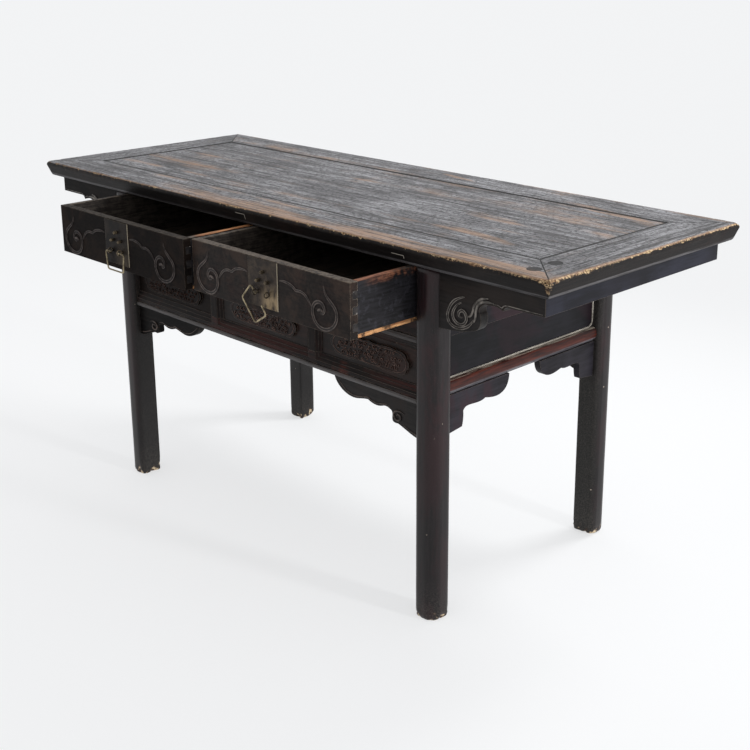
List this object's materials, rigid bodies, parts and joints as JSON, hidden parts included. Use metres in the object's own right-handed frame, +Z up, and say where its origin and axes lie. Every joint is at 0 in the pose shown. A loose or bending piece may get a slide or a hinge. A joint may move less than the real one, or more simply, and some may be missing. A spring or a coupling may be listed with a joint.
{
  "type": "altar table",
  "caption": "Long lacquered altar table with a mitred overhanging top, carved side wings and panels, and sliding drawers with swinging brass bails.",
  "frame": {"origin": "on the floor, below the middle of the bounding box with the drawers standing open as pictured", "axes": "+X along the table to the right as seen from the front, -Y towards the front where the drawers are, +Z up"},
  "size_m": [1.764, 0.86, 0.84],
  "materials": {
    "top_lacquer": "worn grey-black lacquer",
    "dark_lacquer": "aged dark brown lacquer, satin, rubbed through on edges",
    "bare_wood": "bare softwood, darkened with age",
    "aged_brass": "aged, brown, polished where it is touched"
  },
  "bodies": {
    "table": {"back_bottom_rail": "dark_lacquer", "back_lower_panel": "dark_lacquer", "back_middle_rail": "dark_lacquer", "back_upper_panel": "dark_lacquer", "carved_panel_left": "dark_lacquer", "carved_panel_middle": "dark_lacquer", "carved_panel_right": "dark_lacquer", "centre_runner": "bare_wood", "compartment_floor": "bare_wood", "end_apron_left": "dark_lacquer", "end_apron_right": "dark_lacquer", "front_bottom_rail": "dark_lacquer", "front_middle_rail": "dark_lacquer", "left_end_board": "dark_lacquer", "left_end_panel": "dark_lacquer", "left_end_rail": "dark_lacquer", "left_end_spandrels": "dark_lacquer", "left_runner": "bare_wood", "left_stile": "dark_lacquer", "leg_back_left": "dark_lacquer", "leg_back_right": "dark_lacquer", "leg_front_left": "dark_lacquer", "leg_front_right": "dark_lacquer", "right_end_board": "dark_lacquer", "right_end_panel": "dark_lacquer", "right_end_rail": "dark_lacquer", "right_end_spandrels": "dark_lacquer", "right_runner": "bare_wood", "right_stile": "dark_lacquer", "spandrel_back_left": "dark_lacquer", "spandrel_back_right": "dark_lacquer", "spandrel_front_left": "dark_lacquer", "spandrel_front_right": "dark_lacquer", "top_battens": "bare_wood", "top_board_back": "top_lacquer", "top_board_front": "top_lacquer", "top_frame_back": "top_lacquer", "top_frame_front": "top_lacquer", "top_frame_left": "top_lacquer", "top_frame_right": "top_lacquer", "wing_back_left": "dark_lacquer", "wing_back_right": "dark_lacquer", "wing_front_left": "dark_lacquer", "wing_front_right": "dark_lacquer"},
    "left_bail": {"left_bail": "aged_brass"},
    "left_drawer": {"left_drawer_back": "bare_wood", "left_drawer_bottom": "bare_wood", "left_drawer_front": "dark_lacquer", "left_drawer_left_side": "bare_wood", "left_drawer_plate": "aged_brass", "left_drawer_right_side": "bare_wood", "left_drawer_studs": "aged_brass"},
    "right_bail": {"right_bail": "aged_brass"},
    "right_drawer": {"right_drawer_back": "bare_wood", "right_drawer_bottom": "bare_wood", "right_drawer_front": "dark_lacquer", "right_drawer_left_side": "bare_wood", "right_drawer_plate": "aged_brass", "right_drawer_right_side": "bare_wood", "right_drawer_studs": "aged_brass"}
  },
  "joints": [
    {"name": "left_drawer_slide", "type": "slide", "parent": "table", "child": "left_drawer", "axis": [0, -1, 0], "range_m": [-0.206, 0.194]},
    {"name": "left_bail_swing", "type": "hinge", "parent": "left_drawer", "child": "left_bail", "pos_m": [-0.291, -0.42275, 0.7209], "axis": [-1, 0, 0], "range_deg": [-4, 100]},
    {"name": "right_drawer_slide", "type": "slide", "parent": "table", "child": "right_drawer", "axis": [0, -1, 0], "range_m": [-0.189, 0.211]},
    {"name": "right_bail_swing", "type": "hinge", "parent": "right_drawer", "child": "right_bail", "pos_m": [0.232, -0.40575, 0.723], "axis": [-0.6428, 0, 0.766], "range_deg": [-4, 100]}
  ]
}
